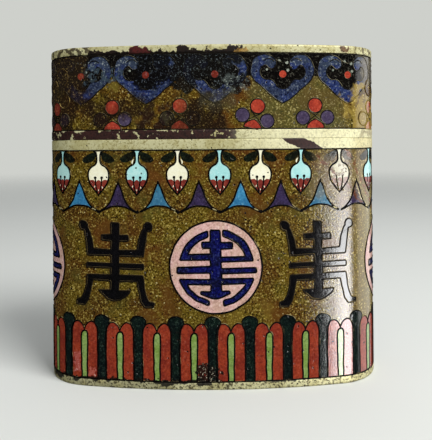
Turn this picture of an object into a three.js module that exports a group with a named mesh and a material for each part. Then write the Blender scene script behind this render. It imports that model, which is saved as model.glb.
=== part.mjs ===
// A pocket-size cloisonne enamel box with a lift-off lid, oval in plan with bowed long sides.
// Millimetres, +Z up. The origin is the middle of the underside, and the front faces -Y.
//
// The body and the lid are each a copper wall closed by a plate, with soldered brass bands at
// their edges and a skin of enamel between the bands. A brass collar inside the mouth guides the lid.
import * as THREE from "three";

// Overall size
const boxWidth = 63.2;
const boxDepth = 23;
const bodyHeight = 45;
const lidHeight = 17;
const endRadius = 9.3; // radius of the two rounded ends, in plan

// Thickness of each layer, from the outside in
const enamelDepth = 0.7; // the enamel and the brass bands share it, and lie flush
const bodyWallThickness = 1;
const lidWallThickness = 0.85;
const plateThickness = 1;
const topEnamelDepth = 0.5;
const collarThickness = 0.6;

// Brass bands, by height
const footBandHeight = 1.35;
const bodyMouthBandHeight = 1.9;
const lidMouthBandHeight = 1.7;
const lidTopBandHeight = 1.5;
const bandEase = 0.15; // worn-off edge of a band
const topBandEase = 0.25;
const topBandEaseSteps = 2;

// The collar is soldered inside the body and stands up into the lid
const collarDrop = 7;
const collarRise = 4;

// Facets round the plan: more on the tight ends than on the long bowed sides
const stepsPerEnd = 26;
const stepsPerSide = 14;

// Heights that follow
const overallHeight = bodyHeight + lidHeight;
const bodyMouthBandBottom = bodyHeight - bodyMouthBandHeight;
const lidMouthBandTop = bodyHeight + lidMouthBandHeight;
const lidTopBandBottom = overallHeight - lidTopBandHeight;
const lidPlateTop = overallHeight - topEnamelDepth;
const lidPlateBottom = lidPlateTop - plateThickness;

// Insets from the outer surface that follow
const bodyWallInside = enamelDepth + bodyWallThickness;
const lidWallInside = enamelDepth + lidWallThickness;
const collarInside = bodyWallInside + collarThickness;

// The plan is four arcs that meet smoothly: two ends, and two long sides of a much larger radius
const endCentre = boxWidth / 2 - endRadius;
const halfDepth = boxDepth / 2;
const sideRadius =
  (endCentre ** 2 + halfDepth ** 2 - endRadius ** 2) / (2 * (halfDepth - endRadius));
const sideCentre = sideRadius - halfDepth;
const sideHalfAngle = Math.asin(endCentre / (sideRadius - endRadius));
const endHalfAngle = Math.PI / 2 - sideHalfAngle;

const copper = new THREE.MeshStandardMaterial({ color: 0x7a4a30, roughness: 0.55, metalness: 1 });
const brass = new THREE.MeshStandardMaterial({ color: 0xc9c08a, roughness: 0.4, metalness: 1 });
const amberEnamel = new THREE.MeshStandardMaterial({ color: 0x6b531c, roughness: 0.3 });

// One arc of the plan, without its last point, which the next arc begins with
function planArc(centreX, centreY, radius, from, to, steps) {
  return Array.from({ length: steps }, (_, step) => {
    const angle = from + ((to - from) * step) / steps;
    return new THREE.Vector2(
      centreX + radius * Math.cos(angle),
      centreY + radius * Math.sin(angle),
    );
  });
}

// The outline in plan, anticlockwise, drawn in from the outer surface by an inset
function planOutline(inset) {
  const quarter = Math.PI / 2;
  const end = endRadius - inset;
  const side = sideRadius - inset;
  return [
    ...planArc(endCentre, 0, end, -endHalfAngle, endHalfAngle, stepsPerEnd),
    ...planArc(0, -sideCentre, side, quarter - sideHalfAngle, quarter + sideHalfAngle, stepsPerSide),
    ...planArc(-endCentre, 0, end, 2 * quarter - endHalfAngle, 2 * quarter + endHalfAngle, stepsPerEnd),
    ...planArc(0, sideCentre, side, 3 * quarter - sideHalfAngle, 3 * quarter + sideHalfAngle, stepsPerSide),
  ];
}

// Gives a piece its name and place
function piece(name, geometry, material, bottom) {
  const mesh = new THREE.Mesh(geometry, material);
  mesh.name = name;
  mesh.position.z = bottom;
  return mesh;
}

// A flat plate that fills the plan inside an inset
function plate(name, material, inset, bottom, top) {
  const shape = new THREE.Shape(planOutline(inset));
  const geometry = new THREE.ExtrudeGeometry(shape, { depth: top - bottom, bevelEnabled: false });
  return piece(name, geometry, material, bottom);
}

// A ring round the plan between two insets, with its edges eased by a bevel if one is given
function ring(name, material, outerInset, innerInset, bottom, top, ease = 0, easeSteps = 1) {
  const shape = new THREE.Shape(planOutline(outerInset));
  shape.holes.push(new THREE.Path(planOutline(innerInset)));
  const geometry = new THREE.ExtrudeGeometry(shape, {
    depth: top - bottom - 2 * ease,
    bevelEnabled: ease > 0,
    bevelThickness: ease,
    bevelSize: ease,
    bevelOffset: -ease,
    bevelSegments: easeSteps,
  });
  return piece(name, geometry, material, bottom + ease);
}

function makeBody() {
  const body = new THREE.Group();
  body.add(
    plate("body_base_plate", copper, enamelDepth, 0, plateThickness),
    ring("body_wall", copper, enamelDepth, bodyWallInside, plateThickness, bodyHeight),
    ring("body_foot_band", brass, 0, enamelDepth, 0, footBandHeight, bandEase),
    ring("body_enamel", amberEnamel, 0, enamelDepth, footBandHeight, bodyMouthBandBottom),
    ring("body_mouth_band", brass, 0, enamelDepth, bodyMouthBandBottom, bodyHeight, bandEase),
    ring("mouth_collar", brass, bodyWallInside, collarInside, bodyHeight - collarDrop, bodyHeight + collarRise),
  );
  return body;
}

function makeLid() {
  const lid = new THREE.Group();
  lid.add(
    ring("lid_mouth_band", brass, 0, enamelDepth, bodyHeight, lidMouthBandTop, bandEase),
    ring("lid_wall", copper, enamelDepth, lidWallInside, bodyHeight, lidPlateBottom),
    ring("lid_enamel", amberEnamel, 0, enamelDepth, lidMouthBandTop, lidTopBandBottom),
    ring("lid_top_band", brass, 0, enamelDepth, lidTopBandBottom, overallHeight, topBandEase, topBandEaseSteps),
    plate("lid_top_plate", copper, enamelDepth, lidPlateBottom, lidPlateTop),
    plate("lid_top_enamel", amberEnamel, enamelDepth, lidPlateTop, overallHeight),
  );
  return lid;
}

const box = new THREE.Group();
box.add(makeBody(), makeLid());

export default box;
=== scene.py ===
# A pocket cloisonne box: enamel laid in wire cells on copper, with brass bands.
import math
import random

import bpy
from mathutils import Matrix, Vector, noise


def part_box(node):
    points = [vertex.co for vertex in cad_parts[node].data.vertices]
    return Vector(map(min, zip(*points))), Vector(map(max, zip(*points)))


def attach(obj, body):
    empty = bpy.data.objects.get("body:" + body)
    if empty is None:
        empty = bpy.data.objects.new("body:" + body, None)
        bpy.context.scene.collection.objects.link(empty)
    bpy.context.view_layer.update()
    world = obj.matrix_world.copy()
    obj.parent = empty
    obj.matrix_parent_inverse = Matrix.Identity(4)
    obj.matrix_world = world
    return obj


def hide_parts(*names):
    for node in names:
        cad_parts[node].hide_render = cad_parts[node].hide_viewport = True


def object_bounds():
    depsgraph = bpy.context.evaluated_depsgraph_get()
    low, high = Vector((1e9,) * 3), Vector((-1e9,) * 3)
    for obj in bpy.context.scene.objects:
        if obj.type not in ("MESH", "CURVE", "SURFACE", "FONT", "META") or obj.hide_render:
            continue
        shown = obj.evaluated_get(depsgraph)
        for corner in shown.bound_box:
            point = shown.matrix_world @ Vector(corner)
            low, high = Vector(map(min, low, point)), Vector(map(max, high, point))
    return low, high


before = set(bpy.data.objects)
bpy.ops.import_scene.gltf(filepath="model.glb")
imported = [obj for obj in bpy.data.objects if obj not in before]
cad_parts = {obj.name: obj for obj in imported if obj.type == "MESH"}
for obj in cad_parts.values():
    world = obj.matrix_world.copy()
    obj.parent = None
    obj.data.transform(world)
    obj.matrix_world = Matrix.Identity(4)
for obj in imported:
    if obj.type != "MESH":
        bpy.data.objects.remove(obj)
cadLow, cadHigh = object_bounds()
random.seed(11)
noise.seed_set(11)
mm = 0.001
scene = bpy.context.scene
scene.view_settings.view_transform = "Standard"


# the plan of the box, in millimetres, read from the frame
def heightsOf(node):
    low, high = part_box(node)
    return low.z / mm, high.z / mm


halfWidth = cadHigh.x / mm
halfDepth = cadHigh.y / mm
endRadius = 9.3  # the rounded ends, as in the solids
skin = (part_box("body_enamel")[1].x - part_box("body_wall")[1].x) / mm  # enamel and bands share it
endCentre = halfWidth - endRadius
sideRadius = (endCentre**2 + halfDepth**2 - endRadius**2) / (2 * (halfDepth - endRadius))
sideCentre = sideRadius - halfDepth
sideAngle = math.asin(endCentre / (sideRadius - endRadius))
sideRun = sideRadius * sideAngle  # from the middle of a long side to where the end begins
quarterRun = sideRun + endRadius * (math.pi / 2 - sideAngle)
fullRun = 4 * quarterRun


# a point of the wall, by its run from the middle of the front and its distance out from the surface
def wallPoint(run, out):
    if run < 0:
        x, y = wallPoint(-run, out)
        return -x, y
    if run > quarterRun:
        x, y = wallPoint(2 * quarterRun - run, out)
        return x, -y
    if run < sideRun:
        angle = run / sideRadius
        reach = sideRadius + out
        return reach * math.sin(angle), sideCentre - reach * math.cos(angle)
    angle = sideAngle + (run - sideRun) / endRadius
    reach = endRadius + out
    return endCentre + reach * math.sin(angle), -reach * math.cos(angle)


# small tools
def mode(kind):
    bpy.ops.object.mode_set(mode=kind)


def selectMesh(action):
    bpy.ops.mesh.select_all(action=action)


def pickOnly(*pieces):
    bpy.ops.object.select_all(action="DESELECT")
    for piece in pieces:
        piece.select_set(True)
    bpy.context.view_layer.objects.active = pieces[0]


def namedActive(name):
    piece = bpy.context.view_layer.objects.active
    piece.name = piece.data.name = name
    return piece


# a cube, circle or plane
def simpleMesh(name, add, **settings):
    bpy.ops.object.select_all(action="DESELECT")
    add(**settings)
    return namedActive(name)


def applyPlace():
    bpy.ops.object.transform_apply(location=True, rotation=True, scale=True)


def joinAll(name, pieces):
    pickOnly(*pieces)
    applyPlace()
    if len(pieces) > 1:
        bpy.ops.object.join()
    return namedActive(name)


# a mesh drawn unrolled (X along the wall, Y up, Z out, in millimetres) goes round the box, in metres
def wrapRound(piece):
    for vertex in piece.data.vertices:
        x, y = wallPoint(vertex.co.x, vertex.co.z)
        vertex.co = (x * mm, y * mm, vertex.co.y * mm)


# a mesh drawn flat lies on the lid at a height, in metres
def layFlat(piece, height):
    for vertex in piece.data.vertices:
        vertex.co = (vertex.co.x * mm, vertex.co.y * mm, (height + vertex.co.z) * mm)


def tidyMesh(piece, smoothAngle=35):
    pickOnly(piece)
    mode("EDIT")
    selectMesh("SELECT")
    bpy.ops.mesh.remove_doubles(threshold=0.000002)
    bpy.ops.mesh.dissolve_degenerate(threshold=0.000001)
    bpy.ops.mesh.normals_make_consistent(inside=False)
    mode("OBJECT")
    bpy.ops.object.shade_smooth_by_angle(angle=math.radians(smoothAngle))


def finishPiece(piece, material, slot, *nodes):
    piece.data.materials.clear()
    piece.data.materials.append(material)
    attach(piece, "root")
    if nodes:
        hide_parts(*nodes)


# lines: points in millimetres, where a third value marks a sharp corner
def flipped(line):
    return [(-p[0], *p[1:]) for p in reversed(line)]


def mirrored(half):
    return half + [p for p in flipped(half) if p[0] < -0.001]


def arcLine(x, y, radius, start, stop, steps):
    angles = [math.radians(start + (stop - start) * i / steps) for i in range(steps + 1)]
    return [(x + radius * math.cos(a), y + radius * math.sin(a)) for a in angles]


def ringLine(x, y, radius, steps=20):
    return arcLine(x, y, radius, 0, 360, steps)[:-1]


# an ellipse, leaned by some degrees
def ellipseLine(x, y, wide, tall, lean=0, steps=12):
    turn = math.radians(lean)
    line = [(wide * px, tall * py) for px, py in ringLine(0, 0, 1, steps)]
    return [
        (x + px * math.cos(turn) - py * math.sin(turn), y + px * math.sin(turn) + py * math.cos(turn))
        for px, py in line
    ]


# a smooth line through the points, straight between two corners
def flow(points, closed=True, step=0.4):
    count = len(points)
    line = []
    for i in range(count if closed else count - 1):
        here, there = Vector(points[i][:2]), Vector(points[(i + 1) % count][:2])
        before, after = Vector(points[i - 1][:2]), Vector(points[(i + 2) % count][:2])
        sharpHere = len(points[i]) > 2 or (not closed and i == 0)
        sharpThere = len(points[(i + 1) % count]) > 2 or (not closed and i == count - 2)
        length = (there - here).length
        leave = (there - here) if sharpHere else (there - before).normalized() * length
        arrive = (there - here) if sharpThere else (after - here).normalized() * length
        parts = 1 if sharpHere and sharpThere else max(2, math.ceil(length / step))
        for part in range(parts):
            t = part / parts
            spot = (
                here * (2 * t**3 - 3 * t**2 + 1) + leave * (t**3 - 2 * t**2 + t)
                + there * (3 * t**2 - 2 * t**3) + arrive * (t**3 - t**2)
            )
            line.append(tuple(spot))
    if not closed:
        line.append(tuple(points[-1][:2]))
    return line


# every corner of a straight-edged line cut round
def eased(points, radius):
    line = []
    for i, point in enumerate(points):
        corner = Vector(point[:2])
        back = Vector(points[i - 1][:2]) - corner
        ahead = Vector(points[(i + 1) % len(points)][:2]) - corner
        cut = min(radius, 0.45 * back.length, 0.45 * ahead.length)
        start, stop = corner + back.normalized() * cut, corner + ahead.normalized() * cut
        for t in (0, 0.33, 0.67, 1):
            line.append(tuple(start * (1 - t) ** 2 + corner * 2 * t * (1 - t) + stop * t**2))
    return line


# the slight wander of a line bent by hand
def byHand(line, wander=0.05):
    phase = random.uniform(0, 100)
    moved = []
    for x, y in line:
        push = noise.noise_vector((x * 0.7 + phase, y * 0.7, phase))
        moved.append((x + wander * push.x * 2, y + wander * push.y * 2))
    return moved


# a smooth closed outline from its right half
def bothSides(half, wander=0):
    line = flow(mirrored(half))
    return byHand(line, wander) if wander else line


# drawn pieces
cut = {
    "ground": -0.11,  # tops of the enamels, out from the surface
    "cell": -0.085,
    "inner": -0.065,
    "wire": -0.004,
    "depth": 0.3,
    "slice": 0.75,  # so that a flat piece bends round the ends
}


def curveToMesh(name, lines, closed, **settings):
    curve = bpy.data.curves.new(name, "CURVE")
    curve.dimensions = "2D"
    for key, value in settings.items():
        setattr(curve, key, value)
    for line in lines:
        spline = curve.splines.new("POLY")
        spline.points.add(len(line) - 1)
        for point, spot in zip(spline.points, line):
            point.co = (spot[0], spot[1], 0, 1)
        spline.use_cyclic_u = closed
    piece = bpy.data.objects.new(name, curve)
    scene.collection.objects.link(piece)
    pickOnly(piece)
    bpy.ops.object.convert(target="MESH")
    return namedActive(name)


def sliceUp(piece):
    xs = [v.co.x for v in piece.data.vertices]
    pickOnly(piece)
    mode("EDIT")
    selectMesh("SELECT")
    bpy.ops.mesh.remove_doubles(threshold=0.001)
    x = min(xs) + cut["slice"] / 2
    while x < max(xs):
        selectMesh("SELECT")
        bpy.ops.mesh.bisect(plane_co=(x, 0, 0), plane_no=(1, 0, 0))
        x += cut["slice"]
    mode("OBJECT")
    return piece


# a cell of enamel, flat on top
def cellOf(lines, top):
    piece = curveToMesh("cell", lines, True, fill_mode="BOTH", extrude=cut["depth"] / 2)
    for vertex in piece.data.vertices:
        vertex.co.z += top - cut["depth"] / 2
    return sliceUp(piece)


# wire on edge along the lines
def wireOf(lines, width, closed=True, top=None):
    top = cut["wire"] if top is None else top
    deep = 0.06
    piece = curveToMesh(
        "wire", lines, closed, fill_mode="NONE", bevel_depth=width / 2, bevel_resolution=1,
        extrude=deep, use_fill_caps=not closed,
    )
    for vertex in piece.data.vertices:
        vertex.co.z += top - deep - width / 2
    return sliceUp(piece)


# copies of a drawn piece at its places: run, height, tilt in degrees and scale
def stamped(piece, places):
    copies = []
    for run, height, tilt, scale in places:
        copy = piece.copy()
        copy.data = piece.data.copy()
        scene.collection.objects.link(copy)
        copy.location = (run, height, 0)
        copy.rotation_euler.z = math.radians(tilt)
        copy.scale = (scale, scale, 1)
        copies.append(copy)
    bpy.data.objects.remove(piece)
    return copies


def placesRound(count, offset, height, wander=0.12, lean=1.0):
    spots = []
    for i in range(count):
        run = offset + fullRun * i / count
        run = (run + fullRun / 2) % fullRun - fullRun / 2
        run, rise = run + random.uniform(-wander, wander), random.uniform(-wander, wander) / 2
        spots.append((run, height + rise, random.uniform(-lean, lean), random.uniform(0.98, 1.02)))
    return spots


# selects the edges or faces that a test chooses, and stays in edit mode
def choose(mesh, kind, test):
    mode("EDIT")
    bpy.ops.mesh.select_mode(type=kind)
    selectMesh("DESELECT")
    mode("OBJECT")
    for part in mesh.edges if kind == "EDGE" else mesh.polygons:
        part.select = test(part, *[mesh.vertices[i].co for i in part.vertices])
    mode("EDIT")


def cutEdges(mesh, test, cuts):
    choose(mesh, "EDGE", test)
    bpy.ops.mesh.subdivide(number_cuts=cuts)
    mode("OBJECT")


# a skin or band right round: a bar drawn along the wall, with eased outer edges, closed into a ring
def ringSkin(name, bottom, top, out, ease=0, wobble=0):
    tall, middle = top - bottom, (bottom + top) / 2
    slices, rowHeight = 288, 0.6
    spot = (0, middle, (out - skin) / 2)
    piece = simpleMesh(name, bpy.ops.mesh.primitive_cube_add, size=1, location=spot)
    piece.scale = (fullRun, tall, out + skin)
    applyPlace()
    mesh = piece.data
    if ease:
        choose(mesh, "EDGE", lambda edge, a, b: abs(a.x - b.x) > 1 and a.z > out - 0.01)
        bpy.ops.mesh.bevel(offset=ease, segments=3)
        mode("OBJECT")
    cutEdges(mesh, lambda edge, a, b: abs(a.x - b.x) > 1, slices)
    if wobble:
        cutEdges(mesh, lambda edge, a, b: abs(a.y - b.y) > tall * 0.4, max(1, round(tall / rowHeight)))
    choose(mesh, "FACE", lambda face, *corners: abs(face.normal.x) > 0.9)  # the two ends, which meet
    bpy.ops.mesh.delete(type="FACE")
    mode("OBJECT")
    wrapRound(piece)
    if wobble:
        grain = 500
        for vertex in mesh.vertices:
            spot = vertex.co
            inward = Vector((spot.x, spot.y, 0)).normalized()
            dent = noise.noise(spot * grain) * 0.6 + noise.noise(spot * grain * 3.1) * 0.4
            sag = noise.noise(Vector((spot.x, spot.y, 7)) * grain * 0.6)
            edge = 1 if spot.z / mm > middle else -1
            vertex.co -= inward * max(0, min(1, dent + 0.25)) * wobble * mm
            vertex.co.z -= edge * max(0, sag) * wobble * mm
    tidyMesh(piece)
    return piece


# shader helpers
def rgb(r, g, b):
    return tuple(((c / 255 + 0.055) / 1.055) ** 2.4 if c > 10 else c / 255 / 12.92 for c in (r, g, b)) + (1,)


# a link, a value, or a colour given as red, green and blue up to 255
def fill(tree, socket, value):
    if isinstance(value, bpy.types.NodeSocket):
        tree.links.new(value, socket)
    elif socket.type == "RGBA":
        socket.default_value = rgb(*value)
    else:
        socket.default_value = value


def put(tree, kind, inputs=None, **settings):
    node = tree.nodes.new("ShaderNode" + kind)
    for key, value in settings.items():
        setattr(node, key, value)
    for key, value in (inputs or {}).items():
        fill(tree, node.inputs[key], value)
    return node


def blend(tree, factor, first, second):
    return put(tree, "Mix", {0: factor, 6: first, 7: second}, data_type="RGBA").outputs[2]


def maths(tree, operation, *values):
    return put(tree, "Math", dict(enumerate(values)), operation=operation).outputs[0]


def textureSpot(tree):
    return put(tree, "TexCoord").outputs["Object"]


# how far a value has gone between two limits, from 0 to 1
def between(tree, value, low, high):
    limits = {0: value, 1: low, 2: high}
    return put(tree, "MapRange", limits, interpolation_type="SMOOTHSTEP").outputs[0]


def newGroup(name, inputs, outputs):
    group = bpy.data.node_groups.new(name, "ShaderNodeTree")
    for label, value in inputs.items():
        tinted = isinstance(value, tuple)
        kind = "NodeSocketColor" if tinted else "NodeSocketFloat"
        socket = group.interface.new_socket(label, in_out="INPUT", socket_type=kind)
        socket.default_value = rgb(*value) if tinted else value
    for label, kind in outputs.items():
        group.interface.new_socket(label, in_out="OUTPUT", socket_type=kind)
    return group, group.nodes.new("NodeGroupInput").outputs, group.nodes.new("NodeGroupOutput").inputs


def useGroup(tree, group, **values):
    node = tree.nodes.new("ShaderNodeGroup")
    node.node_tree = group
    for label, value in values.items():
        fill(tree, node.inputs[label[0].upper() + label[1:]], value)
    return node


def noiseAt(tree, spot, scale, detail=2.0, rough=0.5):
    inputs = {"Vector": spot, "Scale": scale, "Detail": detail, "Roughness": rough}
    return put(tree, "TexNoise", inputs).outputs["Fac"]


# shared effects
# opaque enamel: clouds of a second colour, fine dark and light grain
def makeEnamelGroup():
    group, given, sent = newGroup(
        "enamelBody",
        {
            "Body": (130, 130, 130), "Cloud": (110, 110, 110), "Dark": (20, 20, 20),
            "Light": (220, 220, 220), "CloudScale": 350.0, "GrainScale": 2600.0,
            "DarkShare": 0.4, "LightShare": 0.3,
        },
        {"Color": "NodeSocketColor", "Grain": "NodeSocketFloat"},
    )
    spot = textureSpot(group)
    clouds = noiseAt(group, spot, given["CloudScale"], 3.0, 0.6)
    colour = blend(group, between(group, clouds, 0.4, 0.62), given["Body"], given["Cloud"])
    fine = noiseAt(group, spot, given["GrainScale"], 2.0, 0.7)
    darkGrain = maths(group, "MULTIPLY", between(group, fine, 0.5, 0.34), given["DarkShare"])
    lightGrain = maths(group, "MULTIPLY", between(group, fine, 0.55, 0.7), given["LightShare"])
    colour = blend(group, darkGrain, colour, given["Dark"])
    colour = blend(group, lightGrain, colour, given["Light"])
    group.links.new(colour, sent["Color"])
    group.links.new(fine, sent["Grain"])
    return group


# small round pits, a share of them open
def makePitGroup():
    inputs = {"Scale": 900.0, "Share": 0.3, "Size": 0.22}
    group, given, sent = newGroup("firingPits", inputs, {"Mask": "NodeSocketFloat"})
    spot = textureSpot(group)
    drift = put(group, "TexNoise", {"Vector": spot, "Scale": 3400.0, "Detail": 2.0}).outputs[1]
    wander = {0: drift, 1: (0.3 * mm,) * 3, 2: spot}
    drifted = put(group, "VectorMath", wander, operation="MULTIPLY_ADD").outputs[0]
    cells = put(group, "TexVoronoi", {"Vector": drifted, "Scale": given["Scale"]})
    chosen = put(group, "SeparateColor", {0: cells.outputs["Color"]}).outputs[0]
    opened = maths(group, "LESS_THAN", chosen, given["Share"])
    bottom = maths(group, "MULTIPLY", given["Size"], 0.6)
    inside = between(group, cells.outputs["Distance"], given["Size"], bottom)
    group.links.new(maths(group, "MULTIPLY", opened, inside), sent["Mask"])
    return group


# a tinted patch over one part of the front, for stains and for painted light, with a ragged edge: limits
# along X and Z in millimetres
def makeStainGroup():
    group, given, sent = newGroup(
        "oldStain",
        {
            "Left": -10.0, "Right": 10.0, "Low": 0.0, "High": 10.0, "Lean": 0.0, "Ragged": 1.0,
            "Soft": 0.5, "Scale": 500.0, "Gaps": 0.0, "Round": 0.3,
        },
        {"Mask": "NodeSocketFloat"},
    )
    spot = textureSpot(group)
    axes = put(group, "SeparateXYZ", {0: spot}).outputs
    drift = {"Vector": spot, "Scale": given["Scale"], "Detail": 3.0, "Roughness": 0.65}
    drift = put(group, "TexNoise", drift).outputs["Color"]
    drift = put(group, "SeparateColor", {0: drift}).outputs

    # one axis in millimetres, wandering
    def wandering(axis, push):
        wander = maths(group, "MULTIPLY", maths(group, "SUBTRACT", push, 0.5), given["Ragged"])
        return maths(group, "ADD", maths(group, "MULTIPLY", axis, 1 / mm), wander)

    z = wandering(axes[2], drift[0])
    rise = maths(group, "SUBTRACT", z, given["Low"])
    x = wandering(axes[0], drift[1])
    x = maths(group, "ADD", x, maths(group, "MULTIPLY", rise, given["Lean"]))
    depth = maths(group, "SUBTRACT", x, given["Left"])
    right, low, high = (given[name] for name in ("Right", "Low", "High"))
    for first, second in ((right, x), (z, low), (high, z)):
        depth = maths(group, "SMOOTH_MIN", depth, maths(group, "SUBTRACT", first, second), given["Round"])
    mask = between(group, depth, 0.0, given["Soft"])
    flaked = maths(group, "SUBTRACT", noiseAt(group, spot, 1100.0, 2.0), given["Gaps"])
    kept = between(group, flaked, 0.0, 0.04)
    front = between(group, axes[1], 0.001, -0.001)
    mask = maths(group, "MULTIPLY", maths(group, "MULTIPLY", mask, kept), front)
    group.links.new(mask, sent["Mask"])
    return group


# fine scratches and rubbed patches on metal
def makeScuffGroup():
    outputs = {"Patch": "NodeSocketFloat", "Speck": "NodeSocketFloat"}
    group, given, sent = newGroup("rubbedMetal", {"Scale": 300.0, "Fine": 2500.0}, outputs)
    spot = textureSpot(group)
    patch = noiseAt(group, spot, given["Scale"], 4.0, 0.65)
    speck = noiseAt(group, spot, given["Fine"], 3.0, 0.7)
    group.links.new(patch, sent["Patch"])
    group.links.new(speck, sent["Speck"])
    return group


enamelGroup = makeEnamelGroup()
pitGroup = makePitGroup()
stainGroup = makeStainGroup()
scuffGroup = makeScuffGroup()


def newMaterial(name, roughness, metallic=0.0, specular=0.4, coat=0.0):
    material = bpy.data.materials.new(name)
    material.use_nodes = True
    tree = material.node_tree
    shader = tree.nodes["Principled BSDF"]
    shader.inputs["Roughness"].default_value = roughness
    shader.inputs["Metallic"].default_value = metallic
    shader.inputs["Specular IOR Level"].default_value = specular
    shader.inputs["Coat Weight"].default_value = coat
    shader.inputs["Coat Roughness"].default_value = 0.12
    shader.inputs["Coat IOR"].default_value = 1.6
    return material, tree, shader


# colour, a roughness that follows the grain (spread and least), and bumps (height and depth in mm)
def surface(tree, shader, colour, grain, rough, *bumps):
    fill(tree, shader.inputs["Base Color"], colour)
    if rough:
        fill(tree, shader.inputs["Roughness"], maths(tree, "MULTIPLY_ADD", grain, *rough))
    normal = None
    for height, depth in bumps:
        inputs = {"Height": height, "Distance": depth * mm, "Strength": 1.0}
        if normal:
            inputs["Normal"] = normal
        normal = put(tree, "Bump", inputs).outputs[0]
    tree.links.new(normal, shader.inputs["Normal"])


# enamels: slot, body, cloud, dark grain, light grain, and the shares of each grain
enamels = {
    "turquoise": ("turquoise", (190, 236, 231), (170, 228, 226), (150, 200, 196), (226, 246, 240), 0.2, 0.4),
    "white": ("white", (253, 250, 222), (250, 244, 208), (222, 214, 180), (255, 253, 238), 0.25, 0.4),
    "tongue": ("red", (140, 56, 42), (122, 44, 36), (84, 24, 22), (178, 92, 76), 0.5, 0.4),
    "petal": ("red", (152, 56, 31), (130, 42, 27), (88, 28, 20), (176, 92, 68), 0.6, 0.45),
    "leaf": ("leaf", (135, 162, 90), (122, 152, 68), (80, 98, 50), (176, 192, 130), 0.5, 0.4),
    "darkGreen": ("dark_green", (12, 28, 22), (8, 19, 19), (4, 8, 7), (66, 86, 72), 0.8, 0.4),
    "leafDark": ("dark_green", (14, 24, 16), (18, 20, 10), (4, 6, 4), (62, 68, 40), 0.8, 0.4),
    "sky": ("sky", (64, 140, 182), (48, 116, 160), (36, 82, 116), (130, 188, 208), 0.4, 0.4),
    "blue": ("sky", (66, 130, 158), (56, 112, 146), (36, 78, 100), (140, 184, 192), 0.4, 0.4),
    "greyViolet": ("violet", (84, 72, 98), (70, 58, 84), (40, 34, 50), (122, 112, 132), 0.5, 0.4),
    "violet": ("violet", (58, 46, 82), (48, 38, 62), (28, 22, 36), (108, 96, 128), 0.6, 0.35),
    "pink": ("pink", (221, 176, 170), (208, 170, 152), (146, 106, 96), (244, 220, 212), 0.55, 0.6),
    "cobalt": ("cobalt", (8, 12, 86), (14, 16, 54), (3, 4, 18), (64, 78, 136), 0.9, 0.5),
    "black": ("black", (7, 6, 6), (10, 9, 12), (2, 2, 2), (48, 44, 44), 0.5, 0.12),
    "red": ("red", (178, 65, 45), (156, 52, 38), (100, 32, 24), (214, 112, 88), 0.5, 0.4),
    "scroll": ("cobalt", (40, 54, 104), (44, 54, 78), (10, 13, 30), (130, 138, 146), 0.9, 0.6),
    "head": ("black", (8, 6, 4), (14, 11, 7), (3, 3, 2), (112, 110, 96), 0.6, 0.4),
    "grey": ("white", (150, 156, 142), (120, 128, 116), (60, 64, 60), (206, 206, 190), 0.6, 0.5),
}


# a tinted patch, for stains and, where noted, for painted light: its limits (left, right, low, high), tint
# and strength, its edge (how far it wanders, how soft it is, at what scale), the tint of its pale specks,
# and how dark it mottles on brass
def stain(limits, tint, strength, edge, speck=None, deep=0.6, **more):
    names = ("left", "right", "low", "high", "ragged", "soft", "scale")
    values = dict(zip(names, limits + edge), **more)
    speck = speck or tuple(c * 1.5 + 20 for c in tint)
    deeper = tuple(c * deep for c in tint)
    return {"values": values, "tint": tint, "strength": strength, "speck": speck, "deeper": deeper}


def stainMask(tree, old, share=1.0):
    mask = useGroup(tree, stainGroup, **old["values"]).outputs[0]
    return maths(tree, "MULTIPLY", mask, old["strength"] * share)


def stained(tree, colour, grain, stains, share=1.0):
    for old in stains:
        tint = blend(tree, between(tree, grain, 0.56, 0.7), old["tint"], old["speck"])
        colour = blend(tree, stainMask(tree, old, share), colour, tint)
    return colour


# the enamel of one colour, under the stains of its place where it has any
def enamelMaterial(kind, place="", stains=(), share=1.0):
    name = place + kind + "Enamel"
    if name in bpy.data.materials:
        return bpy.data.materials[name]
    slot, body, cloud, dark, light, darkShare, lightShare = enamels[kind]
    material, tree, shader = newMaterial(name, 0.16, 0.0, 0.9)
    colour, grain = useGroup(
        tree, enamelGroup, body=body, cloud=cloud, dark=dark, light=light,
        darkShare=darkShare, lightShare=lightShare,
    ).outputs
    pits = useGroup(tree, pitGroup, scale=1100.0, share=0.2, size=0.22).outputs[0]
    colour = blend(tree, pits, colour, (24, 18, 12))
    colour = stained(tree, colour, grain, stains, share)
    unpitted = maths(tree, "SUBTRACT", 1.0, pits)
    surface(tree, shader, colour, grain, (0.12, 0.06), (grain, 0.02), (unpitted, 0.05))
    return material


# the amber ground: olive and brown clouds, gold and dark grain, and the stains of one place
def groundMaterial(name, stains=()):
    material, tree, shader = newMaterial(name, 0.18, 0.0, 0.9)
    colour, grain = useGroup(
        tree, enamelGroup, body=(101, 82, 15), cloud=(88, 58, 9), dark=(24, 16, 3), light=(186, 166, 86),
        cloudScale=210.0, grainScale=3000.0, darkShare=1.0, lightShare=1.0,
    ).outputs
    spot = textureSpot(tree)
    green = between(tree, noiseAt(tree, spot, 300.0, 3.0), 0.5, 0.7)
    colour = blend(tree, maths(tree, "MULTIPLY", green, 0.55), colour, (78, 78, 28))
    rust = between(tree, noiseAt(tree, spot, 150.0, 3.0, 0.6), 0.5, 0.66)
    colour = blend(tree, maths(tree, "MULTIPLY", rust, 0.6), colour, (96, 50, 13))
    specks = useGroup(tree, pitGroup, scale=1500.0, share=0.09, size=0.26).outputs[0]
    colour = blend(tree, maths(tree, "MULTIPLY", specks, 0.8), colour, (206, 190, 130))
    pits = useGroup(tree, pitGroup, scale=1000.0, share=0.14, size=0.22).outputs[0]
    colour = stained(tree, blend(tree, pits, colour, (20, 14, 6)), grain, stains)
    unpitted = maths(tree, "SUBTRACT", 1.0, pits)
    surface(tree, shader, colour, grain, (0.14, 0.07), (grain, 0.035), (unpitted, 0.08))
    return material


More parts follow.
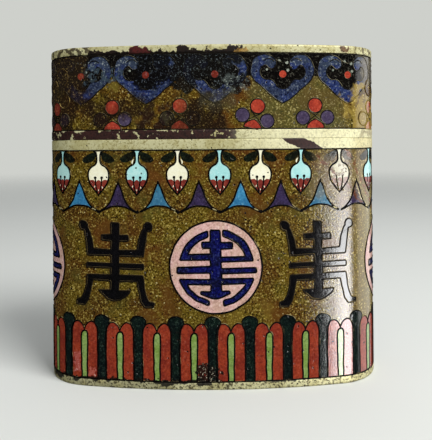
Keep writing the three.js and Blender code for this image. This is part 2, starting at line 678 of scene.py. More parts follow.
# metals
def brassMaterial(name, pale, dull, crust, stains=(), roughness=0.42, pitShare=0.15, crusted=0.55):
    material, tree, shader = newMaterial(name, roughness, 0.25, 0.4)
    patch, speck = useGroup(tree, scuffGroup).outputs
    colour = blend(tree, between(tree, patch, 0.42, 0.62), pale, dull)
    spread = between(tree, speck, 0.68 - 0.22 * crusted, 0.76 - 0.15 * crusted)
    colour = blend(tree, maths(tree, "MULTIPLY", spread, crusted), colour, crust)
    pits = useGroup(tree, pitGroup, scale=1400.0, share=pitShare, size=0.26).outputs[0]
    colour = blend(tree, pits, colour, (46, 34, 20))
    metallic = 0.25
    for old in stains:
        mask = stainMask(tree, old)
        tint = blend(tree, between(tree, speck, 0.4, 0.66), old["tint"], old["deeper"])
        colour = blend(tree, mask, colour, tint)
        metallic = maths(tree, "MULTIPLY", maths(tree, "SUBTRACT", 1.0, mask), metallic)
    fill(tree, shader.inputs["Metallic"], metallic)
    dents = maths(tree, "SUBTRACT", patch, pits)
    surface(tree, shader, colour, speck, (0.3, roughness - 0.12), (speck, 0.04), (dents, 0.06))
    return material


# wire gone black, with gilt left here and there, shown only along its upper right as a painted highlight
# where the light falls
def wireMaterial(name, dark, gold, worn, stains=(), share=1.0):
    material, tree, shader = newMaterial(name, 0.72, 0.0, 0.08)
    patch, speck = useGroup(tree, scuffGroup, scale=450.0, fine=3000.0).outputs
    coords = put(tree, "TexCoord").outputs
    towardsLight = (0.72, 0.0, 0.69)
    # painted highlight: gilt shows only on the faces of the wire that turn up and to the right, towards the
    # light
    side = put(tree, "VectorMath", {0: coords["Normal"], 1: towardsLight}, operation="DOT_PRODUCT")
    gilt = between(tree, patch, 0.56 - worn, 0.66 - worn)
    x = put(tree, "SeparateXYZ", {0: coords["Object"]}).outputs[0]
    gilt = maths(tree, "MULTIPLY", gilt, between(tree, x, 31 * mm, 25 * mm))  # less on the right end
    rubbedAndLit = maths(tree, "MULTIPLY", between(tree, side.outputs["Value"], 0.3, 0.6), gilt)
    colour = stained(tree, blend(tree, rubbedAndLit, dark, gold), speck, stains, share)
    surface(tree, shader, colour, speck, None, (speck, 0.02))
    return material


# copper where no enamel covers it: brown, with green-black tarnish
def copperMaterial(name, bright, brown, tarnish):
    material, tree, shader = newMaterial(name, 0.5, 0.7, 0.4)
    patch, speck = useGroup(tree, scuffGroup, scale=220.0).outputs
    colour = blend(tree, between(tree, patch, 0.4, 0.62), bright, brown)
    colour = blend(tree, between(tree, speck, 0.55, 0.72), colour, tarnish)
    surface(tree, shader, colour, speck, (0.35, 0.34), (speck, 0.04))
    return material


print("materials ready")

footTop = heightsOf("body_foot_band")[1]
bodyMouthLow = heightsOf("body_mouth_band")[0]
lidMouthHigh = heightsOf("lid_mouth_band")[1]
lidTopLow = heightsOf("lid_top_band")[0]

print("bands and grounds")
darkResin = (62, 33, 28)
# the right of both mouths painted pale, a painted pool of light where the light falls from the right
paintedRightLight = stain((2, 60, 30, 70), (246, 240, 197), 0.6, (2, 9, 240), deep=0.88)
bands = {
    "body_foot_band": {
        "ease": 0.22, "wobble": 0.16, "pits": 0.4, "crust": (70, 60, 32), "crusted": 0.95,
        "wearAndSheen": [
            stain((-40, -6, -2, 3), (84, 80, 48), 0.75, (6, 4, 300)),
            stain((-14, 0, 0.75, 3), (26, 21, 13), 0.95, (5, 0.15, 330), round=0.8),
            stain((-34, -19, 1, 3), (24, 19, 12), 0.95, (4, 0.15, 330), round=0.8),
            stain((5, 34, 1.1, 3), (40, 32, 18), 0.9, (2.2, 0.15, 520), gaps=0.5),
        ],
    },
    "body_mouth_band": {
        "ease": 0.18, "wobble": 0.05, "pits": 0.12,
        "wearAndSheen": [
            paintedRightLight,
            stain((17, 21.6, 42.5, 45.6), darkResin, 1, (1.2, 0.15, 500), lean=1.9),
            stain((25, 40, 40, 50), (196, 170, 92), 0.3, (4, 2, 300)),
        ],
    },
    "lid_mouth_band": {
        "ease": 0.18, "wobble": 0.05, "pits": 0.12,
        "wearAndSheen": [
            stain((-40, 4.2, 40, 46.9), darkResin, 1, (2.6, 0.2, 420), gaps=0.34),
            paintedRightLight,
            stain((27, 40, 45, 47), (120, 96, 60), 0.6, (3, 1, 500)),
        ],
    },
    "lid_top_band": {
        "ease": 0.3, "wobble": 0.08, "pits": 0.2,
        "wearAndSheen": [
            stain((-23, 5.2, 50, 61.45), (40, 26, 18), 1, (5, 0.15, 420)),
            stain((-15.4, -11.2, 55, 61.6), (88, 26, 22), 1, (3, 0.2, 420), round=0.6),
            stain((4.4, 6.8, 60, 61.6), (176, 132, 50), 0.85, (4, 0.3, 500), round=0.6, gaps=0.4),
            stain((-40, -22, 50, 64), (62, 46, 26), 0.9, (3, 1, 500), gaps=0.5),
            stain((23.5, 25.4, 60.7, 61.9), (104, 58, 28), 0.9, (2.4, 0.2, 700), round=0.6),
            stain((26, 40, 50, 64), (96, 78, 48), 0.8, (3, 1, 700), gaps=0.52),
        ],
    },
}
for node, band in bands.items():
    low, high = heightsOf(node)
    piece = ringSkin(node + "_worn", low, high, 0, band["ease"], band["wobble"])
    crust, crusted = band.get("crust", (146, 132, 76)), band.get("crusted", 0.8)
    material = brassMaterial(
        node + "_brass", (216, 211, 164), (196, 188, 134), crust, band["wearAndSheen"], 0.44, band["pits"], crusted
    )
    finishPiece(piece, material, "brass", node)

groundStainsAndSheen = [
    stain((-25, -10, 12.5, 17), (52, 37, 9), 0.6, (14, 3, 180), (120, 102, 46), round=3),
    # painted reflection: the pale grey-beige veil over the right end of the body
    stain((24, 40, 0, 44), (150, 134, 84), 0.5, (5, 4, 220)),
    stain((-14, -6, 35, 42), (94, 48, 14), 0.5, (22, 3, 180), round=3),
    stain((1, 12, 10, 16), (140, 122, 40), 0.4, (22, 3, 180), round=3),
    stain((-24, -8, 26, 32), (80, 46, 12), 0.5, (22, 3, 180), round=3),
]
bodyStainsAndSheen = [
    # painted highlight: the pale, speckled top of the sheen down the right of the front
    stain((17, 29, 33, 43.2), (118, 98, 66), 0.5, (5, 2.5, 420), (196, 182, 140)),
    stain((20.6, 24.5, 35.5, 40.2), (116, 96, 64), 0.95, (2.2, 0.4, 900), (206, 196, 160), gaps=0.47),
    stain(
        (-25.9, -24.2, 2.6, 6.4), (172, 82, 74), 0.85, (4, 0.25, 800), (236, 196, 186), round=1.2, gaps=0.36
    ),
    stain(
        (-22.9, -21.4, 2, 3.7), (176, 88, 74), 0.85, (3.4, 0.2, 900), (240, 204, 190), round=0.9, gaps=0.36
    ),
    stain((-3, 1.1, 0, 4.2), (24, 18, 13), 0.94, (6, 0.2, 520), (206, 196, 172), round=1.4, gaps=0.3),
    stain((-34, 0, 0, 1.8), (20, 16, 10), 0.92, (3.4, 0.15, 420), gaps=0.36),
    stain((27.5, 28.5, 33, 42), (96, 50, 26), 0.85, (2.4, 0.3, 500), gaps=0.42, lean=1),
    stain((29.2, 29.7, 31, 42), (206, 190, 140), 0.8, (1.6, 0.2, 500), gaps=0.44, lean=0.55),
    stain((30.6, 31.6, 31, 43), (110, 66, 36), 0.8, (2.4, 0.3, 500), gaps=0.44, lean=0.55),
]
lidStainsAndSheen = [
    stain((-40, -22, 40, 64), (30, 19, 8), 0.86, (20, 2.5, 170), (122, 94, 50)),
    stain((-25, -14, 40, 53.4), (32, 20, 9), 0.86, (24, 3, 150), (112, 92, 50), round=3),
    stain((-15, -9.5, 40, 53), (30, 14, 12), 0.88, (20, 1.8, 190), (72, 58, 46), round=3),
    stain((-10.5, -2, 45, 53.5), (58, 56, 24), 0.6, (20, 2.4, 190), (150, 146, 100), round=3),
    stain((-9, 4.5, 40, 51.8), (28, 17, 9), 0.92, (22, 2.6, 160), (104, 82, 48), round=3),
    stain((-14.5, -6.2, 54.4, 64), (9, 8, 8), 0.95, (12, 0.8, 260), (70, 78, 88), round=1.5),
    stain((-7.5, 5.8, 53.4, 64), (15, 13, 10), 0.93, (14, 0.9, 240), (84, 92, 94), round=2),
    stain((-18.9, -16.4, 53.3, 55.7), (118, 104, 36), 0.55, (2.4, 0.7, 700), (166, 150, 66), round=1.2),
    stain((-24, -15.5, 55, 58.5), (60, 74, 84), 0.7, (6, 1, 500), (150, 166, 164), round=1, gaps=0.5),
    stain((2, 7, 53, 57), (70, 76, 74), 0.8, (4, 1, 500), (168, 176, 162), round=1, gaps=0.5),
    stain((-3, 5, 49.5, 54.5), (60, 56, 40), 0.6, (4, 1.5, 400), (140, 136, 108), round=1.5),
    stain((-29.5, -23.2, 54.5, 64), (38, 28, 17), 0.85, (9, 0.8, 260), (130, 108, 62), round=1.5),
    # painted highlight: golden and then grey at the right end of the lid
    stain((24, 40, 40, 54.2), (152, 128, 56), 0.85, (18, 1.4, 190), (206, 182, 96), round=2),
    stain((27.5, 40, 55, 61), (104, 96, 78), 0.7, (3, 0.8, 400)),
]
violetStains = [
    stain((-24.5, -18.6, 40, 51), (40, 25, 14), 0.9, (3, 0.6, 500), (96, 78, 50)),
    stain((-10, -0.5, 40, 51), (46, 38, 20), 0.92, (3, 0.6, 500), (120, 110, 74)),
]
lobeStains = [
    stain((-33, -25.8, 48, 56.5), (40, 34, 28), 0.85, (7, 0.8, 300), (112, 100, 78), round=1.5),
    stain((-40, 40, 57.7, 64), (54, 64, 80), 0.75, (4, 1.2, 500), (158, 166, 164), gaps=0.4),
]
bodyGround = ringSkin("body_amber_ground", footTop, bodyMouthLow, cut["ground"])
bodyAmber = groundMaterial("bodyGroundEnamel", groundStainsAndSheen + bodyStainsAndSheen)
finishPiece(bodyGround, bodyAmber, "amber_enamel", "body_enamel")
lidGround = ringSkin("lid_amber_ground", lidMouthHigh, lidTopLow, cut["ground"])
lidHaze = stain((5, 26, 40, 64), (84, 84, 46), 0.5, (9, 3, 240), (166, 162, 118))
lidAmber = groundMaterial("lidGroundEnamel", [lidHaze] + lidStainsAndSheen)
finishPiece(lidGround, lidAmber, "amber_enamel", "lid_enamel")

# the dark line where each band meets the enamel
seams = [
    ringSkin("seam", height - 0.11, height + 0.11, cut["ground"] + 0.03)
    for height in (footTop + 0.08, bodyMouthLow - 0.08, lidMouthHigh + 0.08, lidTopLow - 0.1)
]
seamCrust = wireMaterial("seamCrust", (22, 17, 10), (104, 90, 56), 0.04)
finishPiece(joinAll("seam_lines", seams), seamCrust, "wires")

gathered = {}  # the name of a finished piece, and the drawn parts that make it up


def gather(name, parts):
    gathered.setdefault(name, []).extend(parts)


# a drawn motif: cells by the piece they join, and its wires
def setMotif(places, cells=(), wires=()):
    for name, lines, top in cells:
        gather(name, stamped(cellOf(lines, top), places))
    for name, lines, width, closed in wires:
        gather(name, stamped(wireOf(lines, width, closed), places))


# hanging lotus buds under the mouth band
print("buds and tents")
buds = {
    "count": 20,
    "offset": 1.3,
    "outline": [
        (0.98, -0.03, 1), (0.46, -0.42), (0.33, -1.2), (0.34, -2.1), (0.66, -2.65), (1.32, -3.0),
        (1.82, -3.6), (2.0, -4.35), (1.9, -5.25), (1.5, -6.2), (0.85, -7.15), (0, -8.05, 1),
    ],
    "tongues": [
        (0, -5.4), (0.32, -5.55), (0.55, -5.95, 1), (0.8, -5.55), (1.12, -5.35), (1.45, -5.4),
        (1.82, -5.4, 1), (1.5, -6.2), (0.85, -7.15), (0, -7.95, 1),
    ],
    "tips": [(0.0, -7.25, 0.06), (0.72, -6.75, 0.07), (-0.75, -6.6, 0.07)],
    "stroke": [(0.62, -5.0), (0.52, -6.3), (0.2, -7.7)],
    "leaf": [
        (0.4, -0.3, 1), (1.3, -0.45), (2.5, -1.05), (3.1, -1.8), (2.5, -2.25), (1.4, -2.1), (0.7, -1.5),
    ],
    "sliver": [(0.56, -1.6, 1), (0.9, -1.95), (0.98, -2.35), (0.8, -2.6, 1), (0.72, -2.2)],
    "wire": 0.42,
}


budPlaces = placesRound(buds["count"], buds["offset"], bodyMouthLow)
budLine = bothSides(buds["outline"], 0.03)
tongues = [bothSides(buds["tongues"])]
tips = [ellipseLine(x, y, size, size * 3, x * 22) for x, y, size in buds["tips"]]
leaves = [byHand(flow(buds["leaf"])), byHand(flow(flipped(buds["leaf"])))]
strokes = [flow(buds["stroke"], closed=False), flow(flipped(buds["stroke"]), closed=False)]
strokeHeads = [ringLine(x, -4.98, 0.26, 10) for x in (-0.62, 0.62)]
for half, colour in ((0, "white"), (1, "turquoise")):
    setMotif(budPlaces[1 - half::2], cells=[("body_%s_buds" % colour, [budLine], cut["cell"])])
setMotif(
    budPlaces,
    cells=[
        ("body_bud_tongues", tongues, cut["inner"]),
        ("body_leaf_pairs", leaves, cut["cell"]),
        ("body_cream_slivers", tips, cut["inner"] + 0.01),
        ("body_stroke_heads", strokeHeads, cut["inner"] + 0.015),
    ],
    wires=[
        ("body_bud_wires", [budLine], buds["wire"], True),
        ("body_bud_wires", strokes, 0.36, False),
    ],
)
for first, sliver in ((2, flipped(buds["sliver"])), (3, buds["sliver"])):
    setMotif(budPlaces[first::4], cells=[("body_cream_slivers", [flow(sliver)], cut["inner"] + 0.01)])

# the row of little tents between the buds
tents = {
    "height": 32.95,
    "outline": [
        (0, 4.45, 1), (0.62, 3.0), (1.2, 1.4), (1.8, 0.35), (2.6, -0.45), (3.45, -0.92), (3.4, -1.0),
        (2.5, -0.62), (1.3, -0.12), (0, 0.05),
    ],
    "knot": [(0, -0.72), (0.34, -1.05), (0.2, -1.3), (0, -1.34)],  # where two tents meet
    "colours": ("sky", "violet", "blue", "violet"),
}
tentPlaces = placesRound(buds["count"], buds["offset"] + fullRun / buds["count"] / 2, tents["height"])
tentLine = bothSides(tents["outline"], 0.03)
knotPlaces = [(run, tents["height"], tilt, scale) for run, height, tilt, scale in budPlaces]
for i, colour in enumerate(tents["colours"]):
    setMotif(tentPlaces[i::4], cells=[("body_%s_tents" % colour, [tentLine], cut["cell"])])
setMotif(tentPlaces, wires=[("body_tent_wires", [tentLine], 0.4, True)])
setMotif(knotPlaces, cells=[("body_stroke_heads", [bothSides(tents["knot"])], cut["inner"])])
# pale gilt at the right tip of some tents, placed there as a painted highlight
tipHighlight = [ellipseLine(2.75, -0.62, 0.42, 0.1, -24)]
setMotif(tentPlaces[0::2] + tentPlaces[3::4], cells=[("body_tip_highlights", tipHighlight, cut["wire"] + 0.002)])

# fret emblems, alternately long and round
print("emblems")
emblemHeight = 22.0
longFret = {
    "half": [
        (0, 7.75), (0.75, 7.75), (0.75, 5.6), (2.55, 5.6), (2.55, 4.55), (0.75, 4.55), (0.75, 2.95),
        (4.05, 2.95), (4.35, 5.0), (5.0, 6.55),
    ],
    "ball": arcLine(6.05, 7.2, 0.85, 205, -70, 9),
    "rest": [
        (5.85, 6.3), (5.55, 4.6), (5.2, 1.85), (0.75, 1.85), (0.75, 0.5), (5.25, 0.5), (5.25, -0.4),
        (0.75, -0.4), (0.75, -1.6), (5.2, -1.6), (5.35, -3.4), (5.75, -5.0), (6.3, -6.15), (7.25, -6.35),
        (7.2, -7.15), (5.6, -7.2), (4.95, -6.1), (4.45, -4.3), (4.15, -2.65), (0.75, -2.65),
        (0.75, -4.35), (2.95, -4.35), (2.3, -5.2), (1.3, -5.95), (0, -6.25),
    ],
}
roundFret = {
    "disc": 8.2,
    "stem": 0.92, "top": 6.5, "foot": -5.6,
    # the radii of the arcs, and the heights and reaches of the bars, as bent on each side
    "right": dict(
        shoulder=(6.72, 5.6), leg=(7.02, 6.1), short=(4.3, 3.2, 2.95), upper=(1.73, 0.92),
        middle=(-0.27, -1.1, 7.2), lower=(-2.1, -3.05), foot=(-4.3, 2.35),
    ),
    "left": dict(
        shoulder=(6.5, 5.45), leg=(6.82, 6.0), short=(4.45, 3.4, 2.4), upper=(2.3, 1.3),
        middle=(0.13, -1.0, 6.9), lower=(-2.12, -3.0), foot=(-4.3, 2.7),
    ),
}


def longFretLine():
    half = longFret["half"] + longFret["ball"] + longFret["rest"]
    return byHand(eased(mirrored(half), 0.22), 0.07)


# the angle at which an arc passes a height
def passes(radius, height):
    return math.degrees(math.asin(height / radius))


# one side of a round fret: bars across a stem, the outer ones carried round in arcs
def roundFretSide(bars):
    stem, (outer, inner), (legOuter, legInner) = roundFret["stem"], bars["shoulder"], bars["leg"]
    shortTop, shortLow, shortReach = bars["short"]
    upperTop, upperLow = bars["upper"]
    middleTop, middleLow, middleReach = bars["middle"]
    lowerTop, lowerLow = bars["lower"]
    tipTop, tipReach = bars["foot"]
    line = [(0, roundFret["top"]), (stem - 0.05, roundFret["top"]), (stem, shortTop), (shortReach, shortTop)]
    line += [(shortReach, shortLow), (stem, shortLow), (stem, upperTop)]
    line += arcLine(0, 0, inner, passes(inner, upperTop), 77, 7)
    line += arcLine(0, 0, outer, 78, passes(outer, upperLow), 10)
    line += [(stem, upperLow), (stem, middleTop), (middleReach, middleTop), (middleReach, middleLow)]
    line += [(stem + 0.15, middleLow), (stem + 0.15, lowerTop)]
    line += arcLine(0, 0, legOuter, passes(legOuter, lowerTop), -79, 9)
    line += arcLine(0, 0, legInner, -78, passes(legInner, lowerLow), 7)
    line += [(stem, lowerLow), (stem, tipTop), (tipReach, tipTop), (tipReach, tipTop - 0.45)]
    return line + [(0.9, roundFret["foot"] + 0.2), (0, roundFret["foot"])]


def roundFretLine():
    right, left = roundFretSide(roundFret["right"]), roundFretSide(roundFret["left"])
    return byHand(eased(right + flipped(left)[1:-1], 0.3), 0.07)


emblemPlaces = placesRound(8, 0.65, emblemHeight, wander=0.15, lean=1.2)
longLine, roundLine = longFretLine(), roundFretLine()
disc = byHand(ringLine(0, 0, roundFret["disc"], 72), 0.04)
setMotif(
    emblemPlaces[1::2],
    cells=[("body_long_frets", [longLine], cut["cell"])],
    wires=[("body_long_fret_wires", [longLine], 0.36, True)],
)
setMotif(
    emblemPlaces[0::2],
    cells=[("body_pink_discs", [disc], cut["cell"]), ("body_round_frets", [roundLine], cut["inner"])],
    wires=[
        ("body_round_fret_wires", [roundLine], 0.42, True), ("body_round_fret_wires", [disc], 0.44, True),
    ],
)

# the row of forked petals above the foot
print("petals")
petals = {
    "count": 22,
    "offset": 3.2,
    "red": [(0, 10.4, 1), (0.38, 11.25), (1.3, 11.85), (2.2, 11.4), (2.62, 10.3), (2.62, 0, 1)],
    "green": [(0, 10.2), (0.44, 9.95), (0.62, 9.2), (0.56, 5.0), (0.5, 0, 1)],
    "bar": [(0, 13.15), (0.85, 12.95), (1.4, 12.25), (1.3, 11.5), (0.98, 10.8), (0.86, 10.0), (0.84, 0, 1)],
}


def fromFoot(half):
    top = footTop + 0.1
    return bothSides([(p[0], p[1] or top, *p[2:]) for p in half], 0.04)


petalPlaces = placesRound(petals["count"], petals["offset"], 0, wander=0.1, lean=0.25)
petalPlaces = [(run, 0, tilt, 1) for run, height, tilt, scale in petalPlaces]
barPlaces = [(run + fullRun / petals["count"] / 2, 0, tilt, 1) for run, height, tilt, scale in petalPlaces]
redLine, greenLine, barLine = fromFoot(petals["red"]), fromFoot(petals["green"]), fromFoot(petals["bar"])
setMotif(
    petalPlaces,
    cells=[("body_red_petals", [redLine], cut["cell"]), ("body_green_strips", [greenLine], cut["inner"])],
    wires=[("body_petal_wires", [redLine], 0.3, True), ("body_petal_wires", [greenLine], 0.46, True)],
)
setMotif(
    barPlaces,
    cells=[("body_green_bars", [barLine], cut["inner"] + 0.01)],
    wires=[("body_petal_wires", [barLine], 0.26, True)],
)

# cloud heads round the lid
print("lid")
heads = {
    "count": 12,
    "offset": 0.5,
    "outline": [
        (0, 51.35, 1), (1.1, 51.95), (2.5, 53.05), (3.6, 54.05), (4.6, 54.9), (5.4, 55.75), (5.85, 56.9),
        (5.75, 58.1), (5.25, 59.25), (4.4, 59.95), (3.3, 60.2), (2.2, 59.95), (1.4, 59.3), (0, 58.6, 1),
    ],
    "inside": [
        (0, 60.3, 1), (0.95, 60.15), (1.3, 59.3), (1.15, 58.45), (1.5, 57.75), (2.1, 57.45), (2.7, 57.75),
        (3.15, 58.2), (3.75, 58.0), (4.15, 57.2), (4.0, 56.3), (3.2, 55.7), (2.1, 55.6), (1.5, 55.0),
        (0.9, 54.3), (0, 53.95),
    ],
    "curl": [(1.55, 58.9), (2.1, 59.35), (2.9, 59.35), (3.5, 58.95)],
    "eye": 0.68,
    "drops": [(0.75, 58.7, 0.3), (-0.6, 59.0, 0.26), (0.95, 57.3, 0.27), (-2.9, 57.4, 0.2)],
    "dark": (56.3, 60.5),
}
headPlaces = [(run, 0, 0, 1) for run, *rest in placesRound(heads["count"], heads["offset"], 0)]
headLine = bothSides(heads["outline"][::-1], 0.06)
insideLine = bothSides(heads["inside"], 0.06)
curls = [flow(heads["curl"], closed=False), flow(flipped(heads["curl"]), closed=False)]
drops = [ringLine(*drop, 10) for drop in heads["drops"]]
spandrel = ringSkin("lid_dark_spandrels", heads["dark"][0], lidTopLow, cut["ground"] + 0.012)
finishPiece(spandrel, enamelMaterial("head", "lid_", lidStainsAndSheen), "black_enamel")
setMotif(
    headPlaces,
    cells=[
        ("lid_blue_scrolls", [headLine], cut["cell"]),
        ("lid_dark_insides", [insideLine], cut["inner"]),
        ("lid_red_eyes", [ringLine(0, 56.6, heads["eye"], 14)], cut["inner"] + 0.012),
        ("lid_grey_drops", drops, cut["inner"] + 0.012),
    ],
    wires=[
        ("lid_scroll_wires", [headLine, insideLine], 0.22, True),
        ("lid_scroll_wires", curls, 0.2, False),
        ("lid_scroll_wires", [ringLine(0, 56.6, heads["eye"] + 0.05, 14)], 0.18, True),
    ],
)

# four-petal flowers between the cloud heads
flowers = {
    "height": 49.3,
    "strays": {0: (1.3, -14)},
    "top": (0, 1.6, 1.33),
    "side": (2.3, -0.6, 1.28),
    "foot": [(0, -0.85, 1), (0.8, -1.25), (1.55, -2.0), (1.6, -2.55, 1)],
}
gap = fullRun / heads["count"] / 2
flowerPlaces = placesRound(heads["count"], heads["offset"] + gap, flowers["height"], wander=0.2)
for i, (shift, tilt) in flowers["strays"].items():
    run, height = flowerPlaces[i][:2]
    flowerPlaces[i] = (run + shift, height, tilt, 1)
topDot = ringLine(*flowers["top"], 24)
sideDots = [ringLine(side * flowers["side"][0], *flowers["side"][1:], 24) for side in (-1, 1)]
footLine = bothSides(flowers["foot"])
crossing = [[(-1.0, 0.55), (1.0, -1.0)], [(1.0, 0.55), (-1.0, -1.0)]]
setMotif(
    flowerPlaces,
    cells=[
        ("lid_red_petals", [topDot, footLine], cut["cell"]),
        ("lid_violet_petals", sideDots, cut["cell"]),
    ],
    wires=[
        ("lid_flower_wires", [topDot, footLine] + sideDots, 0.22, True),
        ("lid_flower_wires", crossing, 0.16, False),
    ],
)

# loose curls of wire at the two ends of the lid, where the enamel is thin
looseCurls = [  # middle, radius, first and last angle, steps
    (32.4, 49.4, 0.95, -60, 290, 14), (29.2, 48.6, 1.5, 110, 190, 5), (31.4, 54.6, 1.6, 120, 300, 8),
    (-28.6, 56.6, 1.7, -60, 150, 9), (-31.0, 55.0, 1.1, 0, 250, 10), (-28.0, 52.3, 1.4, 200, 420, 9),
]
gather("lid_end_wires", [wireOf([arcLine(*curl) for curl in looseCurls], 0.26, False)])

# what each gathered piece is made of
# each wire below carries that painted highlight along its upper right; the rubbed ones show more of it
wireDark = wireMaterial("darkWire", (4, 3, 2), (186, 168, 116), 0.05)
wireRubbedLit = wireMaterial("rubbedLitWire", (20, 15, 9), (120, 102, 62), 0.2)
wirePale = wireMaterial("paleWire", (16, 14, 11), (150, 142, 112), 0.12, lidStainsAndSheen, 0.8)
wireLoose = wireMaterial("looseWire", (66, 48, 22), (184, 156, 92), 0.25)
topWire = wireMaterial("topWire", (30, 26, 18), (104, 92, 60), -0.02)
finishes = {
    "body_white_buds": "white",
    "body_turquoise_buds": "turquoise",
    "body_bud_tongues": "tongue",
    "body_leaf_pairs": "leafDark",
    "body_cream_slivers": "white",
    "body_stroke_heads": "black",
    "body_sky_tents": "sky",
    "body_blue_tents": "blue",
    "body_violet_tents": "violet",
    "body_long_frets": "black",
    "body_pink_discs": "pink",
    "body_round_frets": "cobalt",
    "body_red_petals": "petal",
    "body_green_strips": "leaf",
    "body_green_bars": "darkGreen",
    "lid_blue_scrolls": "scroll",
    "lid_dark_insides": "head",
    "lid_red_eyes": "red",
    "lid_grey_drops": "grey",
    "lid_red_petals": "red",
    "lid_violet_petals": "greyViolet",
}
print("wrapping")
for name, parts in gathered.items():
    piece = joinAll(name, parts)
    wrapRound(piece)
    tidyMesh(piece)
    onLid = name.startswith("lid")
    if name == "body_tip_highlights":
        tipHighlightBrass = brassMaterial("tipHighlight", (206, 196, 150), (176, 162, 110), (120, 104, 60))
        finishPiece(piece, tipHighlightBrass, "brass")
    elif name in finishes:
        kind = finishes[name]
        place, stains = ("lid_", lidStainsAndSheen) if onLid else ("body_", bodyStainsAndSheen)
        stains = {"scroll": lobeStains, "greyViolet": violetStains}.get(kind, []) + stains
        material = enamelMaterial(kind, place, stains, 0.6 if onLid and kind == "red" else 1)
        finishPiece(piece, material, enamels[kind][0] + "_enamel")
    else:
        rubbedAndLit = {"body_long_fret_wires": wireRubbedLit, "lid_end_wires": wireLoose}
        finishPiece(piece, rubbedAndLit.get(name, wirePale if onLid else wireDark), "wires")

# metal that stays as the frame has it
print("frame metals")
copper = copperMaterial("agedCopper", (122, 74, 48), (84, 52, 36), (40, 34, 28))
underside = copperMaterial("undersideCopper", (104, 70, 46), (70, 50, 36), (46, 56, 42))
collarBrass = brassMaterial("collarBrass", (176, 156, 96), (150, 128, 76), (110, 90, 52))
for node in ("body_wall", "lid_wall", "lid_top_plate", "body_base_plate", "mouth_collar"):
    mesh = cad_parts[node].data
    mesh.materials.clear()
    mesh.materials.append({"body_base_plate": underside, "mouth_collar": collarBrass}.get(node, copper))

# the top of the lid: amber ground, a wire line and one flower
print("lid top")
topLow, topHigh = heightsOf("lid_top_enamel")


def planLine(inset, steps=180):
    return [wallPoint(fullRun * i / steps - fullRun / 2, -inset) for i in range(steps)]


def topPiece(name, lines, top, thick, material, slot, *nodes):
    piece = curveToMesh(name, lines, True, fill_mode="BOTH", extrude=thick / 2)
    layFlat(piece, top - thick / 2)
    tidyMesh(piece)
    finishPiece(piece, material, slot, *nodes)


def topWires(name, lines, width):
    piece = curveToMesh(
        name, lines, True, fill_mode="NONE", bevel_depth=width / 2, bevel_resolution=1, extrude=0.04
    )
    layFlat(piece, topHigh - 0.05 - width / 2)
    tidyMesh(piece)
    finishPiece(piece, topWire, "wires")


medal = {"disc": 6.2, "dot": 1.5, "reach": 3.3, "eye": 1.1, "line": 2.6}
sunk = 0.08  # the ground, below the top of the band
topAmber = groundMaterial("topGroundEnamel")
topPiece(
    "lid_top_ground", [planLine(skin)], topHigh - sunk, topHigh - topLow - sunk, topAmber, "amber_enamel",
    "lid_top_enamel",
)
reaches = [(medal["reach"], 0), (0, medal["reach"]), (-medal["reach"], 0), (0, -medal["reach"])]
ringDots = [ringLine(x, y, medal["dot"], 24) for x, y in reaches]
medalLine, eyeLine = ringLine(0, 0, medal["disc"], 48), ringLine(0, 0, medal["eye"], 20)
for name, lines, rise, kind in (
    ("lid_top_disc", [medalLine], 0.03, "pink"),
    ("lid_top_red_dots", ringDots[0::2], 0.045, "red"),
    ("lid_top_blue_dots", ringDots[1::2], 0.045, "cobalt"),
    ("lid_top_eye", [eyeLine], 0.045, "leaf"),
):
    topPiece(name, lines, topHigh - sunk + rise, 0.2, enamelMaterial(kind), kind + "_enamel")
topWires("lid_top_wires", [medalLine, eyeLine, planLine(medal["line"])] + ringDots, 0.25)

# stage: pale floor fading into a pale surround, and a soft light above on the right
print("stage")
view = {"distance": 98.4, "height": 43.9, "lens": 45, "roll": 0.45, "shift": (0.00909, -0.17045)}
camera = bpy.data.objects.new("camera", bpy.data.cameras.new("camera"))
scene.collection.objects.link(camera)
scene.camera = camera
camera.location = (0, cadLow.y - view["distance"] * mm, view["height"] * mm)
camera.rotation_euler = (math.radians(90), math.radians(view["roll"]), 0)
camera.data.lens = view["lens"]
camera.data.sensor_width = 36
camera.data.shift_x, camera.data.shift_y = view["shift"]
camera.data.clip_start = 0.005
camera.data.clip_end = 20

floor = simpleMesh("floor", bpy.ops.mesh.primitive_circle_add, vertices=96, radius=1.2, fill_type="NGON")
floorPaint, tree, shader = newMaterial("floorPaint", 0.8, specular=0.2)
fill(tree, shader.inputs["Base Color"], (228, 230, 225))
away = put(tree, "VectorMath", {0: textureSpot(tree)}, operation="LENGTH").outputs["Value"]
fade = between(tree, away, 0.25, 0.9)
clear = put(tree, "BsdfTransparent").outputs[0]
mixed = put(tree, "MixShader", {0: fade, 1: shader.outputs[0], 2: clear})
tree.links.new(mixed.outputs[0], tree.nodes["Material Output"].inputs["Surface"])
floor.data.materials.append(floorPaint)
floor.visible_glossy = False

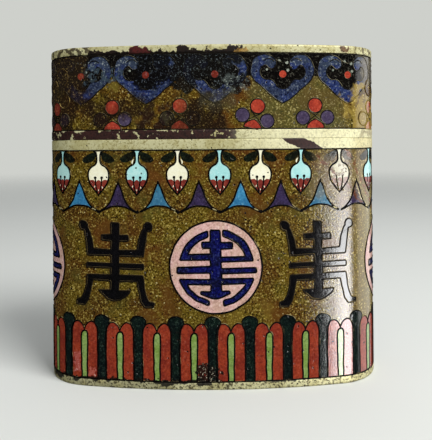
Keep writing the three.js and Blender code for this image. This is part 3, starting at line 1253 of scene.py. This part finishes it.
world = bpy.data.worlds.new("surround")
scene.world = world
world.use_nodes = True
tree = world.node_tree
paths = put(tree, "LightPath").outputs
tone = blend(tree, paths["Is Camera Ray"], (173.39, 175.24, 177.06), (206, 208, 203))
tone = blend(tree, paths["Is Glossy Ray"], tone, (38.69, 38.69, 40.82))
tree.links.new(tone, tree.nodes["Background"].inputs["Color"])

lampSpot, lampAim = Vector((240, -240, 400)), Vector((0, 0, 25))
light = bpy.data.lights.new("keyLight", "AREA")
light.size = 260 * mm
light.energy = 2.3
lamp = bpy.data.objects.new("keyLight", light)
scene.collection.objects.link(lamp)
lamp.location = lampSpot * mm
lamp.rotation_euler = (lampAim - lampSpot).to_track_quat("-Z", "Y").to_euler()
lamp.visible_camera = False

# tall cards seen only by reflections: the sheen down the right of the front, strongest low down,
# and a weak one that greys the right end
cards = {
    "sheenCard": dict(azimuth=45.5, start=(22, -11), wide=26, low=-32, high=42, bright=12.0, dim=4.2),
    "edgeCard": dict(azimuth=98, start=(27, -6), wide=60, low=-32, high=90, bright=1.5, dim=1.0),
}
cardAway = 60
for name, card in cards.items():
    turn = math.radians(card["azimuth"])
    x, y = card["start"][0] + cardAway * math.sin(turn), card["start"][1] - cardAway * math.cos(turn)
    sheen = simpleMesh(name, bpy.ops.mesh.primitive_plane_add, size=1)
    sheen.scale = (card["wide"] * mm, (card["high"] - card["low"]) * mm, 1)
    sheen.rotation_euler = (math.radians(90), 0, turn)
    sheen.location = Vector((x, y, (card["high"] + card["low"]) / 2)) * mm
    paint, tree, shader = newMaterial(name + "Paint", 0.8)
    height = put(tree, "SeparateXYZ", {0: textureSpot(tree)}).outputs[1]
    limits = {0: height, 1: 0.0, 2: 0.5, 3: card["bright"], 4: card["dim"]}
    glow = put(tree, "Emission", {"Strength": put(tree, "MapRange", limits).outputs[0]})
    tree.links.new(glow.outputs[0], tree.nodes["Material Output"].inputs["Surface"])
    sheen.data.materials.append(paint)
    sheen.visible_camera = sheen.visible_diffuse = sheen.visible_shadow = False
